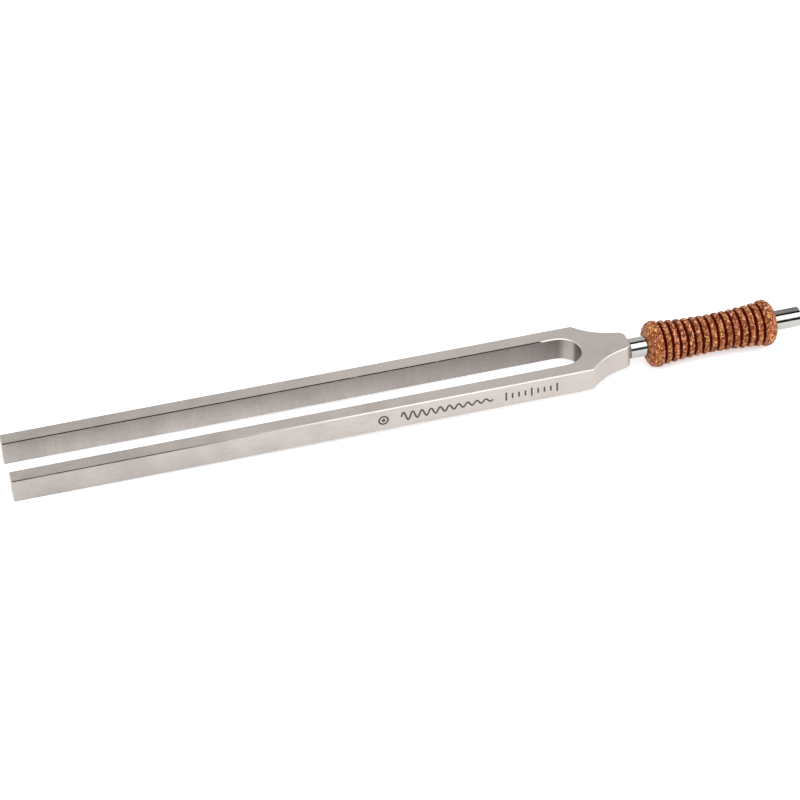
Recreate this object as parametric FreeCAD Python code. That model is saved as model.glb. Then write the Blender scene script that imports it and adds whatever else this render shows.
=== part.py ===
"""A two-tine tuning fork with a round stem and a ribbed cork-rubber grip.

The fork lies flat: +X runs from the tine tips to the free end of the stem, Y runs across the
two tines and +Z is up, square to the flat faces. The origin is the middle of the whole object.
All sizes are in millimetres.
"""
import FreeCAD, Part
import math
import os

from FreeCAD import Vector

# ---- Driving dimensions ---------------------------------------------------------------------
# Fork body: a flat steel plate with a slot cut from one end, which leaves two straight tines.
PLATE_THICKNESS = 7.3
TINE_THICKNESS = 4.7
SLOT_WIDTH = 12.5
SLOT_LENGTH = 167.8          # tips to the bottom of the round crotch
SHOULDER_FROM_TIPS = 168.3   # where the straight outer sides end and the neck begins
BODY_LENGTH = 182.2          # tips to the end face of the neck
NECK_ARC_RADIUS = 20.0       # hollow sides of the neck
NECK_ARC_LEVEL_AT = 183.5    # tips to where those arcs would run parallel to the stem
NECK_CORNER_RADIUS = 2.6
NECK_END_ROUNDING = 0.6      # where the end face runs into the two flat faces
BODY_EDGE_CHAMFER = 0.25     # every edge of the fork is broken by a small flat

# Stem: a ground round rod with a thinner spigot pressed into the neck.
STEM_DIAMETER = 6.0
SPIGOT_DIAMETER = 4.8
SPIGOT_LENGTH = 10.0
SPIGOT_LEAD_CHAMFER = 0.5
BORE_EXTRA_DEPTH = 0.6       # air left in front of the spigot
STEM_ROOT_CHAMFER = 0.3
STEM_END_CHAMFER = 0.5
STEM_TAIL = 8.6              # rod showing behind the grip
GRIP_SEAT_DIAMETER = 5.6     # the rod is turned down under the grip, which keeps the grip in place

# Grip: one turned sleeve, a rounded flange at each end and thin rings between deep grooves.
GRIP_GAP = 5.4               # rod showing between the neck and the grip
GRIP_LENGTH = 39.1
RING_COUNT = 13
RING_PITCH = 2.34
GROOVE_WIDTH = 0.76
GROOVE_DEPTH = 1.0
WAIST_DIAMETER = 11.5        # over the middle ring
WAIST_ARC_RADIUS = 137.0     # the rings' crests lie on this hollow arc
RING_CROWN = 0.3             # how far a ring's edges lie below its crest
FLANGE_DIAMETER = 13.9
FLANGE_OUTER_RADIUS = 2.7    # rounding of the outward faces
FLANGE_INNER_RADIUS = 0.7    # rounding towards the rings

TOLERANCE = 1e-4             # for picking edges by their place

# ---- Places worked out from them ------------------------------------------------------------
OUTER_WIDTH = SLOT_WIDTH + 2 * TINE_THICKNESS
GRIP_START = BODY_LENGTH + GRIP_GAP
GRIP_END = GRIP_START + GRIP_LENGTH
OVERALL_LENGTH = GRIP_END + STEM_TAIL
TIP_X = -OVERALL_LENGTH / 2


def at(distance, y=0.0, z=0.0):
    """A point that lies the given distance behind the tine tips."""
    return Vector(TIP_X + distance, y, z)


def line(start, end):
    return Part.LineSegment(start, end).toShape()


def arc(start, middle, end):
    return Part.Arc(start, middle, end).toShape()


def neck_arc_height(distance):
    """How far the hollow arc's centre lies outside the neck's side at this distance."""
    return math.sqrt(NECK_ARC_RADIUS ** 2 - (NECK_ARC_LEVEL_AT - distance) ** 2)


def neck_half_width(distance):
    """Half the neck's width: full at the shoulder, and narrowest where the arc runs level."""
    return OUTER_WIDTH / 2 + neck_arc_height(SHOULDER_FROM_TIPS) - neck_arc_height(distance)


def neck_side(side):
    """The hollow arc on one side of the neck, from the shoulder to the end face."""
    middle = (SHOULDER_FROM_TIPS + BODY_LENGTH) / 2
    stations = (SHOULDER_FROM_TIPS, middle, BODY_LENGTH)
    points = [at(x, side * neck_half_width(x), -PLATE_THICKNESS / 2) for x in stations]
    return arc(*points)


def body_plate():
    """The closed outline of the fork, extruded through the plate's thickness."""
    z = -PLATE_THICKNESS / 2
    outer = OUTER_WIDTH / 2
    inner = SLOT_WIDTH / 2
    slot_end = SLOT_LENGTH - inner
    end_half = neck_half_width(BODY_LENGTH)
    edges = [
        line(at(0, -outer, z), at(SHOULDER_FROM_TIPS, -outer, z)),
        neck_side(-1),
        line(at(BODY_LENGTH, -end_half, z), at(BODY_LENGTH, end_half, z)),
        neck_side(1),
        line(at(SHOULDER_FROM_TIPS, outer, z), at(0, outer, z)),
        line(at(0, outer, z), at(0, inner, z)),
        line(at(0, inner, z), at(slot_end, inner, z)),
        arc(at(slot_end, inner, z), at(SLOT_LENGTH, 0, z), at(slot_end, -inner, z)),
        line(at(slot_end, -inner, z), at(0, -inner, z)),
        line(at(0, -inner, z), at(0, -outer, z)),
    ]
    outline = Part.Wire(Part.__sortEdges__(edges))
    return Part.Face(outline).extrude(Vector(0, 0, PLATE_THICKNESS))


def neck_corner_edges(shape):
    """The two upright edges where the neck's sides meet its end face."""
    found = []
    for edge in shape.Edges:
        direction = edge.tangentAt(edge.FirstParameter)
        at_end_face = abs(edge.CenterOfMass.x - at(BODY_LENGTH).x) < TOLERANCE
        if abs(direction.z) > 1 - TOLERANCE and at_end_face:
            found.append(edge)
    return found


def end_rounding_cutter(side):
    """What the rounding takes off the upper (1) or lower (-1) edge of the neck's end face."""
    radius = NECK_END_ROUNDING
    centre = at(BODY_LENGTH - radius, -OUTER_WIDTH / 2, side * (PLATE_THICKNESS / 2 - radius))
    block = Part.makeBox(2 * radius, OUTER_WIDTH, 2 * radius)
    block.translate(centre + Vector(0, 0, (side - 1) * radius))
    round_bar = Part.makeCylinder(radius, OUTER_WIDTH, centre, Vector(0, 1, 0))
    return block.cut(round_bar)


def fork_body():
    body = body_plate()
    body = body.makeFillet(NECK_CORNER_RADIUS, neck_corner_edges(body))
    body = body.makeChamfer(BODY_EDGE_CHAMFER, body.Edges)
    for side in (-1, 1):
        body = body.cut(end_rounding_cutter(side))
    bore_bottom = at(BODY_LENGTH - SPIGOT_LENGTH - BORE_EXTRA_DEPTH)
    past_the_end = SPIGOT_LENGTH * 2
    bore = Part.makeCylinder(SPIGOT_DIAMETER / 2, past_the_end, bore_bottom, Vector(1, 0, 0))
    return body.cut(bore)


def revolved(edges):
    """A closed profile in the XZ half-plane above the X axis, turned right round it."""
    face = Part.Face(Part.Wire(Part.__sortEdges__(edges)))
    return face.revolve(Vector(0, 0, 0), Vector(1, 0, 0), 360)


def outline_edges(points):
    """Straight edges through the points and back to the first one."""
    closed = points + points[:1]
    return [line(start, end) for start, end in zip(closed, closed[1:])]


def stem():
    spigot = SPIGOT_DIAMETER / 2
    rod = STEM_DIAMETER / 2
    seat = GRIP_SEAT_DIAMETER / 2
    start = BODY_LENGTH - SPIGOT_LENGTH
    points = [
        at(start),
        at(start, z=spigot - SPIGOT_LEAD_CHAMFER),
        at(start + SPIGOT_LEAD_CHAMFER, z=spigot),
        at(BODY_LENGTH, z=spigot),
        at(BODY_LENGTH, z=rod - STEM_ROOT_CHAMFER),
        at(BODY_LENGTH + STEM_ROOT_CHAMFER, z=rod),
        at(GRIP_START, z=rod),
        at(GRIP_START, z=seat),
        at(GRIP_END, z=seat),
        at(GRIP_END, z=rod),
        at(OVERALL_LENGTH - STEM_END_CHAMFER, z=rod),
        at(OVERALL_LENGTH, z=rod - STEM_END_CHAMFER),
        at(OVERALL_LENGTH),
    ]
    return revolved(outline_edges(points))


def crest_radius(distance):
    """The radius over the rings' crests: smallest in the middle of the grip."""
    from_middle = distance - (GRIP_START + GRIP_END) / 2
    rise = WAIST_ARC_RADIUS - math.sqrt(WAIST_ARC_RADIUS ** 2 - from_middle ** 2)
    return WAIST_DIAMETER / 2 + rise


def rounded_corner(corner, towards_start, towards_end, radius):
    """The start, middle and end of the quarter arc that rounds a square corner."""
    start = corner + towards_start * radius
    end = corner + towards_end * radius
    centre = corner + (towards_start + towards_end) * radius
    middle = centre + (corner - centre).normalize() * radius
    return start, middle, end


def flange_profile(face_x, ring_side_x, outward):
    """One flange's edges from its bore to the groove floor next to it, and the floor point."""
    bore = GRIP_SEAT_DIAMETER / 2
    top = FLANGE_DIAMETER / 2
    floor = crest_radius(ring_side_x) - GROOVE_DEPTH
    out = Vector(outward, 0, 0)
    down = Vector(0, 0, -1)
    outer = rounded_corner(at(face_x, z=top), down, -out, FLANGE_OUTER_RADIUS)
    inner = rounded_corner(at(ring_side_x, z=top), out, down, FLANGE_INNER_RADIUS)
    floor_point = at(ring_side_x, z=floor)
    edges = [
        line(at(face_x, z=bore), outer[0]),
        arc(*outer),
        line(outer[2], inner[0]),
        arc(*inner),
        line(inner[2], floor_point),
    ]
    return edges, floor_point


def ring_profile(centre):
    """One ring's two walls and crowned crest, and the groove floor points beside them."""
    half = (RING_PITCH - GROOVE_WIDTH) / 2
    crest = crest_radius(centre)
    floor = crest - GROOVE_DEPTH
    shoulder = crest - RING_CROWN
    left = at(centre - half, z=floor)
    right = at(centre + half, z=floor)
    left_top = at(centre - half, z=shoulder)
    right_top = at(centre + half, z=shoulder)
    edges = [
        line(left, left_top),
        arc(left_top, at(centre, z=crest), right_top),
        line(right_top, right),
    ]
    return edges, left, right


def grip():
    middle = (GRIP_START + GRIP_END) / 2
    groove_span = (RING_COUNT * RING_PITCH + GROOVE_WIDTH) / 2
    edges, last_floor = flange_profile(GRIP_START, middle - groove_span, -1)
    for number in range(RING_COUNT):
        centre = middle + (number - (RING_COUNT - 1) / 2) * RING_PITCH
        ring_edges, left, right = ring_profile(centre)
        edges += [line(last_floor, left)] + ring_edges
        last_floor = right
    far_edges, far_floor = flange_profile(GRIP_END, middle + groove_span, 1)
    edges += [line(last_floor, far_floor)] + far_edges
    bore = GRIP_SEAT_DIAMETER / 2
    edges.append(line(at(GRIP_END, z=bore), at(GRIP_START, z=bore)))
    return revolved(edges)


def main():
    os.makedirs("parts", exist_ok=True)
    pieces = {"fork_body": fork_body(), "stem": stem(), "grip": grip()}
    for name, shape in pieces.items():
        solid = shape.Solids[0]
        if len(shape.Solids) != 1 or not solid.isValid():
            raise RuntimeError(f"{name} is not one valid solid")
        solid.exportStep(f"parts/{name}.step")
        print(f"{name}: {solid.Volume:.0f} mm3")


main()
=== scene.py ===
import math

import bmesh
import bpy
from mathutils import Matrix, Vector, noise


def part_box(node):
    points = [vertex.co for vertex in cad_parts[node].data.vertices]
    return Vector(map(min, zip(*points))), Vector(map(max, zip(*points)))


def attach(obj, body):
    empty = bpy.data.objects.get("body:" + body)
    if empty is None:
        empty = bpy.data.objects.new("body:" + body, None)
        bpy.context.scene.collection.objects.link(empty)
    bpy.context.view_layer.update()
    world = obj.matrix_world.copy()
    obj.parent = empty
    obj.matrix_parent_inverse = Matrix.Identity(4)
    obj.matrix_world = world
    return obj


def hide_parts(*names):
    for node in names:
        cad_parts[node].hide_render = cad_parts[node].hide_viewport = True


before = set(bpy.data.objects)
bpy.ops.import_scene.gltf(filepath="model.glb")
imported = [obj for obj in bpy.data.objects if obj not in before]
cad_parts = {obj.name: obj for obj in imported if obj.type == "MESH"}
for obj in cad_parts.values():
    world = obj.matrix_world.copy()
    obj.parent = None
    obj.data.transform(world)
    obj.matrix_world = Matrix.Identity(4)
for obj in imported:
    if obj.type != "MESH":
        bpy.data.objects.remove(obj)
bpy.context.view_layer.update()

MM = 0.001

# ---- Places on the fork ---------------------------------------------------------------------
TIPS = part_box("fork_body")[0][0]
SLOT_END = TIPS + 167.8 * MM
SLOT_HALF = 6.25 * MM

# ---- Camera ---------------------------------------------------------------------------------
CAMERA_AZIMUTH = math.radians(13.94)     # turned from looking along +Y towards +X
CAMERA_ELEVATION = math.radians(37.87)   # looking down
CAMERA_ROLL = math.radians(2.23)
CAMERA_DISTANCE = 822.7 * MM
CAMERA_TARGET = Vector((-4.25, -0.5, -2.25)) * MM
SENSOR_WIDTH = 36.0
FOCAL_LENGTH = 129.4

# ---- Studio ---------------------------------------------------------------------------------
# Angles run in the YZ plane from the back horizon (+Y) over the top to the front horizon (-Y).
SOFTBOX_ANGLE = math.radians(124.5)
SOFTBOX_DISTANCE = 1.2
SOFTBOX_HEIGHT = 1.1
SOFTBOX_WIDTH = 4.0
SOFTBOX_RADIANCE = 2.45
FLOOR_SIDE = 6.0
FLOOR_COLOUR = (0.86, 0.86, 0.86, 1.0)
FLOOR_ROUGHNESS = 0.9
# A light table under the paper keeps its shadows pale and a little cool.
FLOOR_GLOW = 0.40
FLOOR_GLOW_COLOUR = (0.93, 0.97, 1.0, 1.0)
# (degrees from the back horizon, radiance): a pale wall behind, a narrow dark gap overhead,
# a greyer room in front and a dark strip low in front.
SURROUND = ((0, 0.72), (20, 0.92), (50, 1.12), (72, 0.95), (80, 0.03), (97, 0.03), (104, 0.6),
            (140, 0.6), (160, 0.06), (174, 0.06), (180, 0.5))
# (direction along X, how bright the room is there): bright at both ends, with a pale edge and
# a darker part next to it on the stem's side.
SIDEWAYS = ((-1.0, 1.7), (-0.4, 1.5), (0.05, 0.95), (0.23, 1.55), (0.28, 0.95), (0.33, 0.36),
            (0.45, 0.5), (0.65, 1.8), (1.0, 2.6))

# ---- Grip: the same turned form as its CAD node, in millimetres -----------------------------
RING_COUNT = 13
RING_PITCH = 2.34
GROOVE_WIDTH = 0.76
GROOVE_DEPTH = 1.0
GROOVE_SPAN = (RING_COUNT * RING_PITCH + GROOVE_WIDTH) / 2   # grip's middle to a flange
WAIST_RADIUS = 5.75
WAIST_ARC_RADIUS = 137.0
RING_CROWN = 0.3
FLANGE_OUTER_RADIUS = 2.7
FLANGE_INNER_RADIUS = 0.7
SEAT_RADIUS = 2.8
GRIP_STEP = 0.19             # spacing of the mesh's rows
GRIP_COLUMNS = 208           # around the axis
STILL_ROWS = 3               # rows over which the granules fade out at the bore's rims

# Granules of the cork-rubber. The two shares are parts of the rise.
CRUMB_SIZE = 0.85
CRUMB_RISE = 0.075           # how far a granule stands out of the surface
CREASE_WIDTH = 0.35          # of the seam between two granules, in granule sizes
CREASE_LEVEL = 0.75          # taken off, which keeps the skin near the CAD node's outline
LEVEL_SHARE = 0.9            # how much granules differ in height
LEVEL_SCATTER = 7.3          # keeps neighbouring granules' heights unlike
ROUGH_SHARE = 0.35           # how much a granule's own surface goes up and down
ROUGH_SCALE = 3.1            # of that, per millimetre

# ---- Mark on the front tine: a ring, a fading wave and a scale, all made of plain strokes ----
MARK_FROM_TIPS = 104.5       # where the mark starts, behind the tine tips
MARK_STROKE = 0.52
MARK_PROUD = 0.012           # so thin that it reads as etched into the face
MARK_ROOT = 0.05
MARK_RING_RADIUS = 1.3
MARK_DOT_RADIUS = MARK_STROKE / 2 + 0.05
WAVE_START = 6.5
WAVE_LENGTH = 27.0
WAVE_PERIOD = 2.7
WAVE_POINTS = 20             # in one period
WAVE_HEIGHT = 1.45
WAVE_FADE = 26.0
TICK_START = 37.5
TICK_PITCH = 1.9
TICK_COUNT = 9
TICK_LONG_EVERY = 4
TICK_LONG = 1.45
TICK_SHORT = 0.9

# ---- Fork's metal ---------------------------------------------------------------------------
NICKEL = (0.478, 0.433, 0.405, 1.0)
# The darker nickel: both the duller patches of the mottle and painted shade towards the tine tips.
NICKEL_DULL_AND_SHADED = (0.352, 0.324, 0.306, 1.0)
# Lighter colour for the edge flats, which brightens their highlight lines: painted highlight.
EDGE_PAINTED_HIGHLIGHT = (0.53, 0.50, 0.475, 1.0)
# Painted dark reflection for the edge flats: a broken line along the slot and the outer edges
# towards the tips.
EDGE_PAINTED_DARK_REFLECTION = (0.022, 0.017, 0.015, 1.0)
# (part of the slot's length from the tips, how light its wall is painted there): painted shade and
# painted reflections, darkest at the closed end, with a painted light band just before it
SLOT_WALL_PAINTED_SHADE = ((0.0, 0.97), (0.30, 1.0), (0.60, 0.84), (0.90, 0.66), (0.972, 0.50), (0.982, 1.0),
             (0.9935, 1.0), (0.996, 0.30), (1.0, 0.26))
WALL_NEAR = 0.1 * MM         # up to here past the slot's side a point counts as its wall
WALL_PAST = 0.3 * MM         # and from here on it doesn't
SLOT_PAINTED_DARK_FULL = 10.5 * MM        # before the slot's closed end, the painted dark reflection along its edge is full
SLOT_PAINTED_DARK_NONE = 9.5 * MM
OUTER_PAINTED_DARK_NONE = -10.0 * MM    # along X: from here the outer edges take a painted dark reflection
OUTER_PAINTED_DARK_FULL = -82.0 * MM    # and here towards the tips they are at their darkest

# ---- Stem's metal ---------------------------------------------------------------------------
ROD_HANDLED = (0.37, 0.362, 0.350, 1.0)
ROD_CLEAN = (0.43, 0.422, 0.410, 1.0)

# ---- Cork-rubber's colours ------------------------------------------------------------------
GRANULES = (
    (0.00, (0.080, 0.013, 0.003)),
    (0.30, (0.200, 0.041, 0.008)),
    (0.62, (0.330, 0.082, 0.019)),
    (0.85, (0.530, 0.170, 0.050)),
    (1.00, (0.900, 0.420, 0.190)),
)
BROAD_TINT = (
    (0.35, (1.00, 0.98, 1.45)),
    (0.50, (1.00, 1.00, 1.00)),
    (0.66, (0.92, 1.15, 0.75)),
)
SPECK_PALE = (0.95, 0.50, 0.24, 1.0)
SPECK_DARK = (0.06, 0.012, 0.006, 1.0)
SPECK_STRENGTH = 0.8
SEAM_COLOUR = (0.07, 0.016, 0.008, 1.0)
# Painted shade in the grooves, deepest at their floors.
GROOVE_PAINTED_SHADE = (0.062, 0.0024, 0.0004, 1.0)

# ---- Mark's colours -------------------------------------------------------------------------
ETCHING = (
    (0.30, (0.030, 0.024, 0.021)),
    (0.70, (0.080, 0.066, 0.059)),
)

# Sockets of Blender's mix node when it mixes colours.
MIX_FACTOR = 0
MIX_FIRST = 6
MIX_SECOND = 7
MIX_RESULT = 2


# ---- Shader helpers -------------------------------------------------------------------------
def new_material(name):
    material = bpy.data.materials.new(name)
    material.use_nodes = True
    tree = material.node_tree
    return material, tree, tree.nodes["Principled BSDF"]


def node(tree, kind, **settings):
    made = tree.nodes.new(kind)
    for name, value in settings.items():
        setattr(made, name, value)
    return made


def feed(tree, socket, value):
    """Links an output to a socket, or sets the socket where the value is a plain one."""
    if isinstance(value, bpy.types.NodeSocket):
        tree.links.new(value, socket)
    else:
        socket.default_value = value


def calc(tree, operation, *values, clamp=False):
    made = node(tree, "ShaderNodeMath", operation=operation, use_clamp=clamp)
    for socket, value in zip(made.inputs, values):
        feed(tree, socket, value)
    return made.outputs[0]


def between(tree, value, low, high, to_low=0.0, to_high=1.0):
    """Smoothly maps low..high to to_low..to_high and holds the ends."""
    made = node(tree, "ShaderNodeMapRange", interpolation_type="SMOOTHSTEP")
    for socket, given in zip(made.inputs, (value, low, high, to_low, to_high)):
        feed(tree, socket, given)
    return made.outputs[0]


def parts_of(tree, vector):
    """The X, Y and Z outputs of a vector."""
    made = node(tree, "ShaderNodeSeparateXYZ")
    tree.links.new(vector, made.inputs[0])
    return made.outputs


def surface_normal(tree):
    return parts_of(tree, node(tree, "ShaderNodeNewGeometry").outputs["Normal"])


def surface_position(tree):
    return parts_of(tree, node(tree, "ShaderNodeTexCoord").outputs["Object"])


def place(tree, stretch=(1.0, 1.0, 1.0)):
    """The surface's place in millimetres, squeezed along each axis."""
    coordinate = node(tree, "ShaderNodeTexCoord")
    mapping = node(tree, "ShaderNodeMapping")
    mapping.inputs["Scale"].default_value = [factor / MM for factor in stretch]
    tree.links.new(coordinate.outputs["Object"], mapping.inputs["Vector"])
    return mapping.outputs[0]


def cloud(tree, vector, scale, detail=4.0, roughness=0.55):
    made = node(tree, "ShaderNodeTexNoise")
    made.inputs["Scale"].default_value = scale
    made.inputs["Detail"].default_value = detail
    made.inputs["Roughness"].default_value = roughness
    tree.links.new(vector, made.inputs["Vector"])
    return made.outputs["Fac"]


def crumbs(tree, vector, scale):
    """Granules: how far a point is from its granule's middle, and three random values for each."""
    made = node(tree, "ShaderNodeTexVoronoi")
    made.inputs["Scale"].default_value = scale
    tree.links.new(vector, made.inputs["Vector"])
    shades = node(tree, "ShaderNodeSeparateColor")
    tree.links.new(made.outputs["Color"], shades.inputs[0])
    return made.outputs["Distance"], shades.outputs


def blend_colour(tree, factor, first, second, how="MIX"):
    made = node(tree, "ShaderNodeMix", data_type="RGBA", blend_type=how)
    feed(tree, made.inputs[MIX_FACTOR], factor)
    feed(tree, made.inputs[MIX_FIRST], first)
    feed(tree, made.inputs[MIX_SECOND], second)
    return made.outputs[MIX_RESULT]


def ramp(tree, value, stops):
    made = node(tree, "ShaderNodeValToRGB")
    elements = made.color_ramp.elements
    while len(elements) < len(stops):
        elements.new(0.5)
    for element, (position, colour) in zip(elements, stops):
        element.position = position
        element.color = (*colour, 1.0)
    tree.links.new(value, made.inputs[0])
    return made.outputs[0]


def grey_stops(stops):
    return [(position, (level,) * 3) for position, level in stops]


def grey(tree, value):
    made = node(tree, "ShaderNodeCombineColor")
    for socket in made.inputs:
        tree.links.new(value, socket)
    return made.outputs[0]


def bump(tree, height, strength, distance, after=None):
    made = node(tree, "ShaderNodeBump")
    made.inputs["Strength"].default_value = strength
    made.inputs["Distance"].default_value = distance
    tree.links.new(height, made.inputs["Height"])
    if after is not None:
        tree.links.new(after, made.inputs["Normal"])
    return made.outputs[0]


# ---- Materials ------------------------------------------------------------------------------
def edge_flats(tree):
    """Two masks, 1 on the small flats: those round the outside and those along the slot."""
    normal = surface_normal(tree)
    tilt_y = calc(tree, "ABSOLUTE", normal["Y"])
    tilt_z = calc(tree, "ABSOLUTE", normal["Z"])
    flat = between(tree, calc(tree, "MULTIPLY", tilt_y, tilt_z), 0.25, 0.40)
    outward = calc(tree, "MULTIPLY", surface_position(tree)["Y"], normal["Y"])
    outside = calc(tree, "GREATER_THAN", outward, 0.0)
    inside = calc(tree, "SUBTRACT", 1.0, outside)
    return calc(tree, "MULTIPLY", flat, outside), calc(tree, "MULTIPLY", flat, inside)


def along_slot(tree):
    """0 at the tine tips and 1 at the slot's closed end."""
    from_tips = calc(tree, "SUBTRACT", surface_position(tree)["X"], TIPS)
    return calc(tree, "DIVIDE", from_tips, SLOT_END - TIPS)


def slot_walls(tree):
    """A mask, 1 on the slot's upright walls, straight or round, and 0 everywhere else."""
    position = surface_position(tree)
    upright = between(tree, calc(tree, "ABSOLUTE", surface_normal(tree)["Z"]), 0.5, 0.3)
    off_middle = calc(tree, "ABSOLUTE", position["Y"])
    within = between(tree, off_middle, SLOT_HALF + WALL_PAST, SLOT_HALF + WALL_NEAR)
    before_end = calc(tree, "LESS_THAN", position["X"], SLOT_END + WALL_NEAR)
    inner = calc(tree, "MULTIPLY", within, before_end)
    return calc(tree, "MULTIPLY", upright, inner)


def painted_slot_wall_shade(tree):
    """The slot walls' painted shade and painted reflections along the slot, darkest at its closed
    end, with cutter marks.
    """
    tone = ramp(tree, along_slot(tree), grey_stops(SLOT_WALL_PAINTED_SHADE))
    upright_streaks = place(tree, (1.0, 1.0, 0.04))
    streaks = cloud(tree, upright_streaks, scale=1.2, detail=3.0, roughness=0.6)
    marks = between(tree, streaks, 0.3, 0.7, 0.97, 1.03)
    return blend_colour(tree, 1.0, tone, grey(tree, marks), "MULTIPLY")


def painted_dark_edge_reflection(tree, outer_flat, slot_flat):
    """A mask for the painted dark reflections on the edges: a broken line along the slot and the
    outer edges towards the tips.
    """
    x = surface_position(tree)["X"]
    uneven = cloud(tree, place(tree, (0.4, 1.0, 1.0)), scale=1.3, detail=3.0)
    straight = between(tree, x, SLOT_END - SLOT_PAINTED_DARK_NONE, SLOT_END - SLOT_PAINTED_DARK_FULL)
    broken = calc(tree, "MULTIPLY", straight, between(tree, uneven, 0.2, 0.4))
    slot_edge_painted_dark = calc(tree, "MULTIPLY", slot_flat, broken)
    towards_tips = between(tree, x, OUTER_PAINTED_DARK_NONE, OUTER_PAINTED_DARK_FULL)
    patchy = between(tree, uneven, 0.2, 0.8, 0.85, 1.0)
    outer_edge_painted_dark = calc(tree, "MULTIPLY", outer_flat, calc(tree, "MULTIPLY", towards_tips, patchy))
    return calc(tree, "MAXIMUM", slot_edge_painted_dark, outer_edge_painted_dark)


def satin_nickel():
    material, tree, shader = new_material("satin_nickel")
    even = place(tree)
    lengthwise = place(tree, (0.05, 1.0, 1.0))
    brushing = cloud(tree, lengthwise, scale=5.0, detail=6.0, roughness=0.65)
    short_lines = place(tree, (0.35, 1.0, 1.0))
    fine = cloud(tree, short_lines, scale=9.0, detail=3.0, roughness=0.6)
    patches = cloud(tree, even, scale=0.09, detail=3.0)
    mottle = calc(tree, "ADD", brushing, calc(tree, "MULTIPLY", patches, 0.8))
    tone = between(tree, mottle, 0.55, 1.25)
    # Lighter towards the slot's closed end and the yoke, darker towards the tips: painted light
    # and shade.
    lift = between(tree, along_slot(tree), 0.0, 0.9, -0.30, 0.55)
    colour = blend_colour(tree, calc(tree, "ADD", tone, lift, clamp=True), NICKEL_DULL_AND_SHADED, NICKEL)
    frosting = cloud(tree, even, scale=2.2, detail=4.0, roughness=0.7)
    frost = between(tree, frosting, 0.32, 0.68, 0.93, 1.05)
    colour = blend_colour(tree, 1.0, colour, grey(tree, frost), "MULTIPLY")
    # Painted shade and painted reflections on the slot's walls.
    colour = blend_colour(tree, slot_walls(tree), colour, painted_slot_wall_shade(tree), "MULTIPLY")
    outer_flat, slot_flat = edge_flats(tree)
    flats = calc(tree, "ADD", outer_flat, slot_flat, clamp=True)
    # Edge flats painted lighter: painted highlight.
    colour = blend_colour(tree, flats, colour, EDGE_PAINTED_HIGHLIGHT)
    # Painted dark reflections on the edge flats.
    colour = blend_colour(tree, painted_dark_edge_reflection(tree, outer_flat, slot_flat), colour, EDGE_PAINTED_DARK_REFLECTION)
    feed(tree, shader.inputs["Base Color"], colour)
    shader.inputs["Metallic"].default_value = 1.0
    feed(tree, shader.inputs["Roughness"], between(tree, brushing, 0.25, 0.75, 0.42, 0.52))
    grain = bump(tree, brushing, strength=0.10, distance=0.02 * MM)
    surface = bump(tree, fine, strength=0.10, distance=0.02 * MM, after=grain)
    feed(tree, shader.inputs["Normal"], surface)
    return material


def polished_rod():
    material, tree, shader = new_material("polished_rod")
    round_lines = place(tree, (1.0, 0.06, 0.06))
    turning = cloud(tree, round_lines, scale=7.0, detail=4.0, roughness=0.6)
    handling = cloud(tree, place(tree), scale=0.5, detail=4.0, roughness=0.6)
    feed(tree, shader.inputs["Base Color"], blend_colour(tree, handling, ROD_HANDLED, ROD_CLEAN))
    shader.inputs["Metallic"].default_value = 1.0
    feed(tree, shader.inputs["Roughness"], between(tree, handling, 0.3, 0.7, 0.06, 0.13))
    surface = bump(tree, turning, strength=0.05, distance=0.01 * MM)
    feed(tree, shader.inputs["Normal"], surface)
    return material


def cork_rubber():
    material, tree, shader = new_material("cork_rubber")
    even = place(tree)
    warped = node(tree, "ShaderNodeVectorMath", operation="ADD")
    tree.links.new(even, warped.inputs[0])
    tree.links.new(cloud(tree, even, scale=1.5, detail=2.0), warped.inputs[1])
    granule_distance, granule_shade = crumbs(tree, warped.outputs[0], scale=1.95)
    _, speck_shade = crumbs(tree, warped.outputs[0], scale=2.7)
    colour = ramp(tree, granule_shade[0], GRANULES)
    pale = calc(tree, "MULTIPLY", between(tree, speck_shade[1], 0.84, 0.90), SPECK_STRENGTH)
    colour = blend_colour(tree, pale, colour, SPECK_PALE)
    dark = calc(tree, "MULTIPLY", between(tree, speck_shade[2], 0.86, 0.92), SPECK_STRENGTH)
    colour = blend_colour(tree, dark, colour, SPECK_DARK)
    tint = ramp(tree, cloud(tree, even, scale=0.33, detail=2.0), BROAD_TINT)
    colour = blend_colour(tree, 0.6, colour, tint, "MULTIPLY")
    seam = calc(tree, "MULTIPLY", between(tree, granule_distance, 0.30, 0.55), 0.45)
    colour = blend_colour(tree, seam, colour, SEAM_COLOUR)
    # The grooves darken with depth: painted shade in the recesses, with their specular level
    # lowered as well.
    depth = node(tree, "ShaderNodeAttribute", attribute_name="depth")
    groove_shade_mask = between(tree, depth.outputs["Fac"], 0.25, 0.90)
    colour = blend_colour(tree, groove_shade_mask, colour, GROOVE_PAINTED_SHADE)
    feed(tree, shader.inputs["Base Color"], colour)
    roughness = between(tree, granule_shade[1], 0.0, 1.0, 0.45, 0.75)
    feed(tree, shader.inputs["Roughness"], roughness)
    sheen = between(tree, groove_shade_mask, 0.0, 1.0, 0.16, 0.02)
    feed(tree, shader.inputs["Specular IOR Level"], sheen)
    domes = bump(tree, granule_distance, strength=0.5, distance=-0.07 * MM)
    pores = cloud(tree, even, scale=6.0, detail=3.0)
    surface = bump(tree, pores, strength=0.35, distance=0.05 * MM, after=domes)
    feed(tree, shader.inputs["Normal"], surface)
    return material


def etched_mark():
    material, tree, shader = new_material("etched_mark")
    burn = cloud(tree, place(tree), scale=5.0, detail=3.0)
    feed(tree, shader.inputs["Base Color"], ramp(tree, burn, ETCHING))
    shader.inputs["Metallic"].default_value = 0.4
    feed(tree, shader.inputs["Roughness"], between(tree, burn, 0.3, 0.7, 0.55, 0.75))
    feed(tree, shader.inputs["Normal"], bump(tree, burn, strength=0.3, distance=0.02 * MM))
    return material


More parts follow.
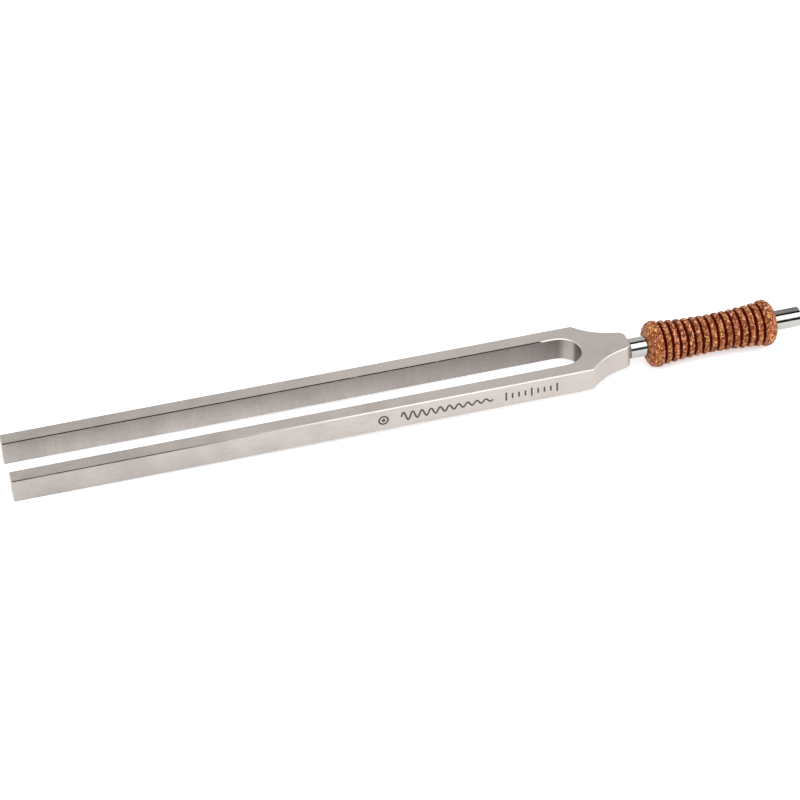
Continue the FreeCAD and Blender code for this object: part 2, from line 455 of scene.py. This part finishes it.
def paper_floor():
    material, _, shader = new_material("paper_floor")
    shader.inputs["Base Color"].default_value = FLOOR_COLOUR
    shader.inputs["Roughness"].default_value = FLOOR_ROUGHNESS
    shader.inputs["Specular IOR Level"].default_value = 0.0
    shader.inputs["Emission Color"].default_value = FLOOR_GLOW_COLOUR
    shader.inputs["Emission Strength"].default_value = FLOOR_GLOW
    return material


# ---- Grip mesh ------------------------------------------------------------------------------
def run(start, end):
    """Evenly spaced points from start up to, but not including, end."""
    count = max(1, round((end - start).length / GRIP_STEP))
    return [start.lerp(end, number / count) for number in range(count)]


def bend(centre, radius, first, last):
    """Evenly spaced points on an arc, from the first angle up to, but not including, the last."""
    count = max(2, round(abs(last - first) * radius / GRIP_STEP))
    angles = [first + (last - first) * number / count for number in range(count)]
    return [centre + Vector((math.cos(a), math.sin(a))) * radius for a in angles]


def crest_radius(from_middle):
    """The radius over the rings' crests, smallest in the grip's middle."""
    return WAIST_RADIUS + WAIST_ARC_RADIUS - math.sqrt(WAIST_ARC_RADIUS ** 2 - from_middle ** 2)


def flange_outline(face, ring_side, top):
    """From the seat up the rounded face, along the top and down to the groove's floor."""
    outward = math.copysign(1.0, face - ring_side)
    floor = crest_radius(ring_side) - GROOVE_DEPTH
    outer = Vector((face - outward * FLANGE_OUTER_RADIUS, top - FLANGE_OUTER_RADIUS))
    inner = Vector((ring_side + outward * FLANGE_INNER_RADIUS, top - FLANGE_INNER_RADIUS))
    facing = 0.0 if outward > 0 else math.pi
    points = run(Vector((face, SEAT_RADIUS)), Vector((face, outer.y)))
    points += bend(outer, FLANGE_OUTER_RADIUS, facing, math.pi / 2)
    points += run(Vector((outer.x, top)), Vector((inner.x, top)))
    points += bend(inner, FLANGE_INNER_RADIUS, math.pi / 2, math.pi - facing)
    points += run(Vector((ring_side, inner.y)), Vector((ring_side, floor)))
    return points + [Vector((ring_side, floor))]


def ring_outline(centre):
    """Up one wall of a ring, over its crown and down the other wall."""
    half = (RING_PITCH - GROOVE_WIDTH) / 2
    crest = crest_radius(centre)
    floor = crest - GROOVE_DEPTH
    shoulder = crest - RING_CROWN
    crown_radius = (half ** 2 + RING_CROWN ** 2) / (2 * RING_CROWN)
    spread = math.asin(half / crown_radius)
    crown_centre = Vector((centre, crest - crown_radius))
    points = run(Vector((centre - half, floor)), Vector((centre - half, shoulder)))
    points += bend(crown_centre, crown_radius, math.pi / 2 + spread, math.pi / 2 - spread)
    points += run(Vector((centre + half, shoulder)), Vector((centre + half, floor)))
    return points + [Vector((centre + half, floor))]


def grip_outline(length, top):
    """The grip's whole outer outline, from seat to seat, as (x from its middle, radius)."""
    points = flange_outline(-length / 2, -GROOVE_SPAN, top)
    for number in range(RING_COUNT):
        ring = ring_outline((number - (RING_COUNT - 1) / 2) * RING_PITCH)
        points += run(points.pop(), ring[0]) + ring
    far = flange_outline(length / 2, GROOVE_SPAN, top)[::-1]
    points += run(points.pop(), far[0]) + far
    return points


def softened(points, passes=2):
    """Rounds the outline's sharp corners a little."""
    for _ in range(passes):
        middle = [(a + b * 2 + c) / 4 for a, b, c in zip(points, points[1:], points[2:])]
        points = points[:1] + middle + points[-1:]
    return points


def groove_depth(point):
    """0 on a crest or a flange and 1 on a groove's floor."""
    if abs(point.x) > GROOVE_SPAN:
        return 0.0
    return min(1.0, max(0.0, (crest_radius(point.x) - point.y) / GROOVE_DEPTH))


def granule_lift(point):
    """How far the granules lift or sink the surface here, in millimetres."""
    distances, cells = noise.voronoi(point / CRUMB_SIZE)
    crease = min(1.0, (distances[1] - distances[0]) / CREASE_WIDTH)
    level = noise.cell(cells[0] * LEVEL_SCATTER) - 0.5
    rough = noise.noise(point * ROUGH_SCALE)
    return CRUMB_RISE * (crease - CREASE_LEVEL + LEVEL_SHARE * level + ROUGH_SHARE * rough)


def grip_row(skin, depth_layer, middle, point, normal, held):
    """One circle of vertices round the axis, moved by the granules as far as held allows."""
    row = []
    for column in range(GRIP_COLUMNS):
        angle = math.tau * column / GRIP_COLUMNS
        spoke = Vector((0.0, math.cos(angle), math.sin(angle)))
        spot = Vector((point.x, 0.0, 0.0)) + spoke * point.y
        lift = granule_lift(spot) * held
        spot += (Vector((normal.x, 0.0, 0.0)) + spoke * normal.y) * lift
        vertex = skin.verts.new(middle + spot * MM)
        vertex[depth_layer] = groove_depth(point)
        row.append(vertex)
    return row


def build_grip():
    """The sleeve with real granules in its skin, in place of the plain CAD grip."""
    low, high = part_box("grip")
    middle = Vector(((low[0] + high[0]) / 2, 0.0, 0.0))
    length = (high[0] - low[0]) / MM
    top = high[2] / MM - CRUMB_RISE
    outline = softened(grip_outline(length, top))
    skin = bmesh.new()
    depth_layer = skin.verts.layers.float.new("depth")
    rows = []
    last = len(outline) - 1
    for index, point in enumerate(outline):
        ahead = outline[min(index + 1, last)] - outline[max(index - 1, 0)]
        normal = Vector((-ahead.y, ahead.x)).normalized()
        held = min(1.0, index / STILL_ROWS, (last - index) / STILL_ROWS)
        rows.append(grip_row(skin, depth_layer, middle, point, normal, held))
    rows.append(rows[0])     # the bore closes the sleeve
    for row, following in zip(rows, rows[1:]):
        for column in range(GRIP_COLUMNS):
            after = (column + 1) % GRIP_COLUMNS
            corners = (row[column], row[after], following[after], following[column])
            skin.faces.new(corners).smooth = True
    piece = finished_piece(skin, "grip_sleeve", cork_rubber())
    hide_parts("grip")
    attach(piece, "root")


def finished_piece(skin, name, material):
    bmesh.ops.recalc_face_normals(skin, faces=skin.faces)
    mesh = bpy.data.meshes.new(name)
    skin.to_mesh(mesh)
    skin.free()
    mesh.materials.append(material)
    piece = bpy.data.objects.new(name, mesh)
    bpy.context.collection.objects.link(piece)
    return piece


# ---- Mark -----------------------------------------------------------------------------------
def stroke_sides(points, closed):
    """The two sides of a stroke of even width along a line of (along, up) points."""
    left, right = [], []
    count = len(points)
    for index, point in enumerate(points):
        ahead = points[(index + 1) % count] if closed else points[min(index + 1, count - 1)]
        behind = points[index - 1] if closed else points[max(index - 1, 0)]
        direction = (ahead - behind).normalized()
        across = Vector((-direction.y, direction.x)) * MARK_STROKE / 2
        left.append(point + across)
        right.append(point - across)
    return left, right


def add_stroke(skin, points, face_y, start_x, closed=False):
    """One stroke as a thin closed bar: a strip on the tine's face with its root inside."""
    def corner(point, depth):
        return skin.verts.new((start_x + point.x * MM, face_y + depth * MM, point.y * MM))

    left, right = stroke_sides(points, closed)
    sections = []
    for a, b in zip(left, right):
        sections.append([corner(a, -MARK_PROUD), corner(b, -MARK_PROUD),
                         corner(b, MARK_ROOT), corner(a, MARK_ROOT)])
    following = sections[1:] + sections[:1] if closed else sections[1:]
    for one, other in zip(sections, following):
        for side in range(len(one)):
            after = (side + 1) % len(one)
            skin.faces.new((one[side], one[after], other[after], other[side]))
    if not closed:
        skin.faces.new(sections[0])
        skin.faces.new(sections[-1][::-1])


def circle(centre, radius, count=36):
    angles = [math.tau * number / count for number in range(count)]
    return [centre + Vector((math.cos(a), math.sin(a))) * radius for a in angles]


def fading_wave():
    points = []
    count = round(WAVE_LENGTH / WAVE_PERIOD * WAVE_POINTS)
    for number in range(count + 1):
        along = WAVE_LENGTH * number / count
        height = WAVE_HEIGHT * math.exp(-along / WAVE_FADE)
        up = height * math.sin(math.tau * along / WAVE_PERIOD)
        points.append(Vector((WAVE_START + along, up)))
    return points


def build_mark():
    low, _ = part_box("fork_body")
    start_x = low[0] + MARK_FROM_TIPS * MM
    face_y = low[1]
    skin = bmesh.new()
    ring_centre = Vector((MARK_RING_RADIUS, 0.0))
    for radius in (MARK_RING_RADIUS, MARK_DOT_RADIUS):
        add_stroke(skin, circle(ring_centre, radius), face_y, start_x, closed=True)
    add_stroke(skin, fading_wave(), face_y, start_x)
    for number in range(TICK_COUNT):
        along = TICK_START + number * TICK_PITCH
        half = TICK_LONG if number % TICK_LONG_EVERY == 0 else TICK_SHORT
        add_stroke(skin, [Vector((along, -half)), Vector((along, half))], face_y, start_x)
    piece = finished_piece(skin, "etched_mark", etched_mark())
    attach(piece, "root")


# ---- Studio ---------------------------------------------------------------------------------
def add_floor():
    """A paper floor that touches the tine tips and the grip's near flange, as the fork lies."""
    tip_low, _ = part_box("fork_body")
    grip_low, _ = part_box("grip")
    flange_x = grip_low[0] + FLANGE_OUTER_RADIUS * MM
    slope = (tip_low[2] - grip_low[2]) / (flange_x - tip_low[0])
    bpy.ops.mesh.primitive_plane_add(size=FLOOR_SIDE)
    floor = bpy.context.object
    floor.name = "floor"
    floor.rotation_euler = (0.0, math.atan(slope), 0.0)
    floor.location = (0.0, 0.0, tip_low[2] + slope * tip_low[0])
    floor.data.materials.append(paper_floor())


def add_softbox():
    data = bpy.data.lights.new("softbox", "AREA")
    data.shape = "RECTANGLE"
    data.size = SOFTBOX_WIDTH
    data.size_y = SOFTBOX_HEIGHT
    data.energy = SOFTBOX_RADIANCE * math.pi * SOFTBOX_WIDTH * SOFTBOX_HEIGHT
    light = bpy.data.objects.new("softbox", data)
    light.visible_camera = False
    towards = Vector((0.0, math.cos(SOFTBOX_ANGLE), math.sin(SOFTBOX_ANGLE)))
    light.location = towards * SOFTBOX_DISTANCE
    light.rotation_euler = (SOFTBOX_ANGLE - math.pi / 2, 0.0, 0.0)
    bpy.context.collection.objects.link(light)


def add_surround():
    """The room's light by direction, from the back horizon over the top to the front."""
    world = bpy.data.worlds.new("studio")
    bpy.context.scene.world = world
    world.use_nodes = True
    tree = world.node_tree
    direction = parts_of(tree, node(tree, "ShaderNodeTexCoord").outputs["Generated"])
    angle = calc(tree, "ARCTAN2", direction["Z"], direction["Y"])
    turn = calc(tree, "DIVIDE", angle, math.pi)
    light = ramp(tree, turn, grey_stops([(degrees / 180, level) for degrees, level in SURROUND]))
    along = calc(tree, "MULTIPLY_ADD", direction["X"], 0.5, 0.5)
    sideways = ramp(tree, along, grey_stops([((x + 1) / 2, level) for x, level in SIDEWAYS]))
    background = tree.nodes["Background"]
    tree.links.new(light, background.inputs["Color"])
    tree.links.new(sideways, background.inputs["Strength"])


def add_camera():
    data = bpy.data.cameras.new("camera")
    data.sensor_width = SENSOR_WIDTH
    data.lens = FOCAL_LENGTH
    camera = bpy.data.objects.new("camera", data)
    bpy.context.collection.objects.link(camera)
    turn = (
        Matrix.Rotation(-CAMERA_AZIMUTH, 4, "Z")
        @ Matrix.Rotation(math.pi / 2 - CAMERA_ELEVATION, 4, "X")
        @ Matrix.Rotation(-CAMERA_ROLL, 4, "Z")
    )
    back = turn.to_3x3() @ Vector((0, 0, 1))
    camera.matrix_world = Matrix.Translation(CAMERA_TARGET + back * CAMERA_DISTANCE) @ turn
    bpy.context.scene.camera = camera


def dress(name, material):
    """Gives a CAD node its material and leaves its mesh alone."""
    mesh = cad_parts[name].data
    mesh.materials.clear()
    mesh.materials.append(material)


bpy.context.scene.view_settings.view_transform = "Standard"
add_camera()
add_softbox()
add_surround()
add_floor()
dress("fork_body", satin_nickel())
dress("stem", polished_rod())
build_grip()
build_mark()
